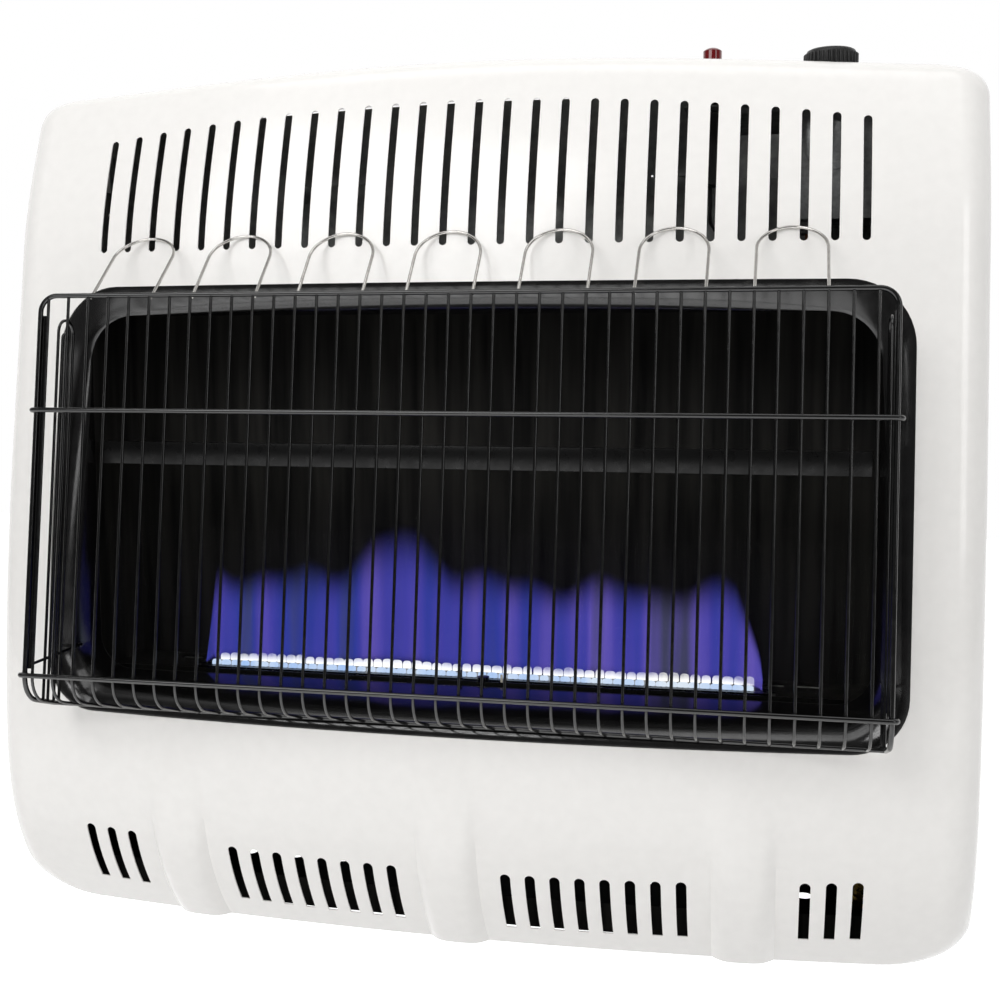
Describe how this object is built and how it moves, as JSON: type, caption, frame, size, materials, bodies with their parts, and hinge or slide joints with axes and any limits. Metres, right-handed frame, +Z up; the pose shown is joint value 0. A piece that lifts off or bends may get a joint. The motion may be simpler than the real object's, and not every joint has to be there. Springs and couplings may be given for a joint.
{
  "type": "wall mounted gas heater",
  "caption": "Wall mounted gas heater: bowed white casing with slotted top and base, glass fronted burner behind a black wire guard, control knob and igniter button on top.",
  "frame": {"origin": "centre of the wall bracket's four screw holes, on the wall's plane", "axes": "+Y into the wall, +Z up, +X to the right as seen from the room"},
  "size_m": [0.7354, 0.2857, 0.6564],
  "materials": {
    "white_enamel": "gloss",
    "white_screw": "gloss",
    "black_enamel": "gloss",
    "black_paint": "matte",
    "black_wire": "satin",
    "bright_wire": "polished",
    "zinc_steel": "satin",
    "dark_steel": "satin",
    "aluminium": "satin",
    "brass": "satin",
    "copper": "satin",
    "glass": "clear",
    "ceramic": "gloss",
    "rubber": "matte",
    "black_plastic": "satin",
    "red_plastic": "gloss"
  },
  "bodies": {
    "heater": {"wall_bracket": "zinc_steel", "wall_spacers": "rubber", "back_panel": "zinc_steel", "casing": "white_enamel", "casing_screws": "white_screw", "base_tray": "black_paint", "surround": "black_enamel", "surround_nuts": "zinc_steel", "firebox": "black_enamel", "hood": "black_paint", "heat_shield": "zinc_steel", "side_plate_left": "zinc_steel", "side_plate_right": "zinc_steel", "glass_pane": "glass", "glass_rail": "dark_steel", "glass_channel": "dark_steel", "burner_body": "dark_steel", "burner_brackets": "zinc_steel", "mixer_tube": "zinc_steel", "injector": "brass", "injector_holder": "aluminium", "pilot_bracket": "dark_steel", "pilot_burner": "dark_steel", "spark_electrode": "ceramic", "thermocouple": "dark_steel", "thermocouple_lead": "copper", "pilot_tube": "aluminium", "burner_tube": "aluminium", "inlet_tube": "aluminium", "pressure_regulator": "aluminium", "inlet_fitting": "brass", "gas_valve": "aluminium", "control_bracket": "zinc_steel", "igniter_body": "black_plastic", "igniter_nut": "black_plastic", "igniter_lead": "rubber", "thermostat_bulb": "copper", "thermostat_capillary": "copper", "bulb_clips": "zinc_steel", "guard_frame": "black_wire", "guard_wires": "black_wire", "guard_feet": "black_wire", "guard_bars": "black_wire", "guard_hairpins": "black_wire", "guard_ties": "black_wire", "guard_loops": "bright_wire"},
    "knob_push_body": {"push_collar": "zinc_steel", "stem_spring": "zinc_steel"},
    "knob_body": {"control_knob": "black_plastic", "valve_stem": "zinc_steel"},
    "button_body": {"igniter_button": "red_plastic"}
  },
  "joints": [
    {"name": "knob_push", "type": "slide", "parent": "heater", "child": "knob_push_body", "axis": [0, 0, -1], "range_m": [0, 0.003], "stiffness_N_per_m": 2500, "deforming": ["stem_spring"]},
    {"name": "knob_turn", "type": "hinge", "parent": "knob_push_body", "child": "knob_body", "pos_m": [0.256, -0.115, 0.08], "axis": [0, 0, 1], "range_deg": [0, 250]},
    {"name": "igniter_push", "type": "slide", "parent": "heater", "child": "button_body", "axis": [0, 0, -1], "range_m": [0, 0.006], "stiffness_N_per_m": 1500}
  ]
}
